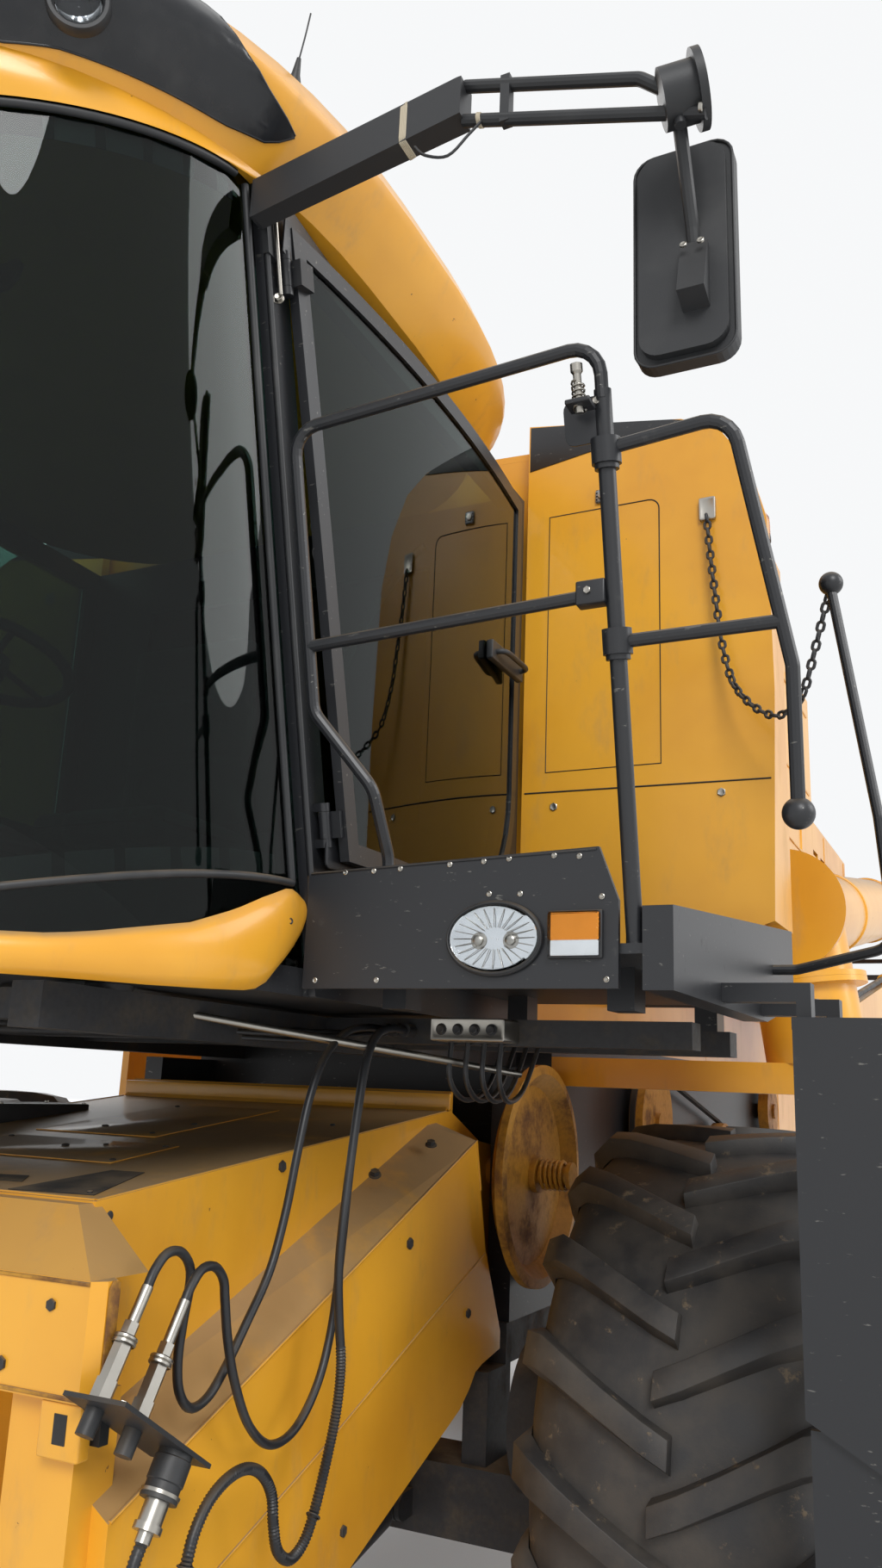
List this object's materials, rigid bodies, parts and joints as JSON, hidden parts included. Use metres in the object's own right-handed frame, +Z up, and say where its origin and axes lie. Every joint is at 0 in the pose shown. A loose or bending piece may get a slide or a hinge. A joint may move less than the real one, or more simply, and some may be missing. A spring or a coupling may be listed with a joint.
{
  "type": "combine harvester",
  "caption": "Self-propelled combine harvester with cab, feeder house, grain tank, folded unloading auger, large front drive wheels and steered rear wheels; no header fitted.",
  "frame": {"origin": "on the floor, under the middle of the machine's outline", "axes": "+X to the machine's left side, +Y to its rear, +Z up; the machine faces -Y"},
  "size_m": [4.055, 9.45, 4.08],
  "materials": {
    "yellow_paint": "warm yellow paint, dusty and worn",
    "black_metal": "black paint, scratched",
    "dark_iron": "dark grey paint over castings, dusty",
    "bright_steel": "polished rod",
    "grey_steel": "bare perforated sheet",
    "rusty_steel": "heat-stained steel",
    "worn_yellow_iron": "cast iron with worn yellow paint and rust",
    "black_plastic": "moulded plastic",
    "seat_fabric": "woven cover over foam",
    "tinted_glass": "dark green tint",
    "clear_lamp": "clear lens",
    "amber_lamp": "amber lens",
    "red_lamp": "red lens",
    "hose_rubber": "hydraulic hose cover",
    "belt_rubber": "worn belt",
    "tyre_rubber": "worn and dusty tread"
  },
  "bodies": {
    "machine": {"chassis_frame": "dark_iron", "front_axle": "dark_iron", "rear_axle": "dark_iron", "threshing_housing": "black_metal", "corner_panels": "yellow_paint", "grain_tank": "yellow_paint", "engine": "dark_iron", "engine_hood": "yellow_paint", "exhaust_pipe": "rusty_steel", "straw_hood": "yellow_paint", "straw_chopper": "black_metal", "rear_ladder": "black_metal", "rear_lamps": "red_lamp", "cab_frame": "black_metal", "cab_glazing": "tinted_glass", "cab_roof": "yellow_paint", "cab_skirt": "yellow_paint", "driver_seat": "black_plastic", "seat_cushions": "seat_fabric", "steering_console": "black_plastic", "platforms": "black_metal", "handrails": "black_metal", "mirrors": "black_plastic", "head_lamps": "clear_lamp", "amber_lamps": "amber_lamp", "auger_base": "yellow_paint", "drive_pulleys": "worn_yellow_iron", "drive_belts": "belt_rubber", "hose_short": "hose_rubber", "hose_long": "hose_rubber", "hose_ribbed": "hose_rubber", "ladder_fixed": "black_metal", "panel_rails": "dark_iron"},
    "feeder": {"feeder_house": "yellow_paint", "header_coupler": "black_plastic", "quick_couplings": "bright_steel"},
    "lift_barrel_pair": {"lift_barrels": "dark_iron"},
    "lift_rod_pair": {"lift_rods": "bright_steel"},
    "front_wheel_left": {"front_rim_left": "yellow_paint", "front_tyre_left": "tyre_rubber"},
    "front_wheel_right": {"front_rim_right": "yellow_paint", "front_tyre_right": "tyre_rubber"},
    "steering_knuckle_left": {"knuckle_left": "dark_iron"},
    "steering_knuckle_right": {"knuckle_right": "dark_iron"},
    "steering_link": {"steering_rod": "bright_steel"},
    "rear_wheel_left": {"rear_rim_left": "yellow_paint", "rear_tyre_left": "tyre_rubber"},
    "rear_wheel_right": {"rear_rim_right": "yellow_paint", "rear_tyre_right": "tyre_rubber"},
    "door": {"cab_door": "black_metal", "door_glass": "tinted_glass"},
    "ladder_lower": {"ladder_folding": "black_metal"},
    "rail_wing": {"wing_rail": "black_metal"},
    "panel_left": {"side_panel_left": "yellow_paint"},
    "panel_right": {"side_panel_right": "yellow_paint"},
    "cover_left": {"tank_cover_left": "yellow_paint"},
    "cover_right": {"tank_cover_right": "yellow_paint"},
    "unloading_auger": {"auger_tube": "yellow_paint"},
    "air_screen": {"rotary_screen": "grey_steel"}
  },
  "joints": [
    {"name": "feeder_lift", "type": "hinge", "parent": "machine", "child": "feeder", "pos_m": [-0.0825, -1.775, 1.55], "axis": [-1, 0, 0], "range_deg": [-6, 9], "deforming": ["hose_short", "hose_long", "hose_ribbed"]},
    {"name": "lift_barrel_tilt", "type": "hinge", "parent": "machine", "child": "lift_barrel_pair", "pos_m": [-0.0825, -2.12, 0.6], "axis": [-1, 0, 0], "range_deg": [-9, 13.5]},
    {"name": "lift_rod_slide", "type": "slide", "parent": "lift_barrel_pair", "child": "lift_rod_pair", "axis": [0, -0.9826, -0.1858], "range_m": [-0.095, 0.142]},
    {"name": "front_wheel_left_spin", "type": "hinge", "parent": "machine", "child": "front_wheel_left", "pos_m": [1.4375, -1.945, 0.87], "axis": [1, 0, 0], "continuous": true},
    {"name": "front_wheel_right_spin", "type": "hinge", "parent": "machine", "child": "front_wheel_right", "pos_m": [-1.6025, -1.945, 0.87], "axis": [1, 0, 0], "continuous": true},
    {"name": "steer_left", "type": "hinge", "parent": "machine", "child": "steering_knuckle_left", "pos_m": [0.9675, 1.805, 0.59], "axis": [0, 0, 1], "range_deg": [-30, 30]},
    {"name": "steer_right", "type": "hinge", "parent": "machine", "child": "steering_knuckle_right", "pos_m": [-1.1325, 1.805, 0.59], "axis": [0, 0, 1], "range_deg": [-30, 30]},
    {"name": "steering_rod_slide", "type": "slide", "parent": "machine", "child": "steering_link", "axis": [1, 0, 0], "range_m": [-0.115, 0.115]},
    {"name": "rear_wheel_left_spin", "type": "hinge", "parent": "steering_knuckle_left", "child": "rear_wheel_left", "pos_m": [1.2675, 1.805, 0.59], "axis": [1, 0, 0], "continuous": true},
    {"name": "rear_wheel_right_spin", "type": "hinge", "parent": "steering_knuckle_right", "child": "rear_wheel_right", "pos_m": [-1.4325, 1.805, 0.59], "axis": [1, 0, 0], "continuous": true},
    {"name": "door_hinge", "type": "hinge", "parent": "machine", "child": "door", "pos_m": [0.8695, -3.42714, 2.3], "axis": [0, 0.2534, -0.9673], "range_deg": [0, 55]},
    {"name": "ladder_fold", "type": "hinge", "parent": "machine", "child": "ladder_lower", "pos_m": [2.0025, -2.845, 1.18], "axis": [0, -1, 0], "range_deg": [0, 150]},
    {"name": "wing_rail_swing", "type": "hinge", "parent": "machine", "child": "rail_wing", "pos_m": [1.5845, -3.443, 2.1], "axis": [0.0167, -0.2534, 0.9672], "range_deg": [0, 90]},
    {"name": "side_panel_left_lift", "type": "hinge", "parent": "machine", "child": "panel_left", "pos_m": [1.6175, -0.915, 2.17], "axis": [0, -0.9877, -0.1564], "range_deg": [0, 70]},
    {"name": "side_panel_right_lift", "type": "hinge", "parent": "machine", "child": "panel_right", "pos_m": [-1.7825, -0.915, 2.17], "axis": [0, 0.9877, 0.1564], "range_deg": [0, 70]},
    {"name": "tank_cover_left_lift", "type": "hinge", "parent": "machine", "child": "cover_left", "pos_m": [1.3135, -0.675, 3.954], "axis": [0, 1, 0], "range_deg": [0, 100]},
    {"name": "tank_cover_right_lift", "type": "hinge", "parent": "machine", "child": "cover_right", "pos_m": [-1.4785, -0.675, 3.954], "axis": [0, -1, 0], "range_deg": [0, 100]},
    {"name": "auger_swing", "type": "hinge", "parent": "machine", "child": "unloading_auger", "pos_m": [1.5375, -1.375, 2.45], "axis": [0.1392, 0, -0.9903], "range_deg": [0, 95]},
    {"name": "air_screen_spin", "type": "hinge", "parent": "machine", "child": "air_screen", "pos_m": [-1.3825, 1.775, 2.95], "axis": [1, 0, 0], "continuous": true}
  ],
  "couplings": [
    {"joint": "lift_barrel_tilt", "follows": "feeder_lift", "ratio": 1.46},
    {"joint": "lift_rod_slide", "follows": "feeder_lift", "m_per_rad": 0.89},
    {"joint": "steer_right", "follows": "steer_left", "ratio": 1},
    {"joint": "steering_rod_slide", "follows": "steer_left", "m_per_rad": -0.21}
  ]
}
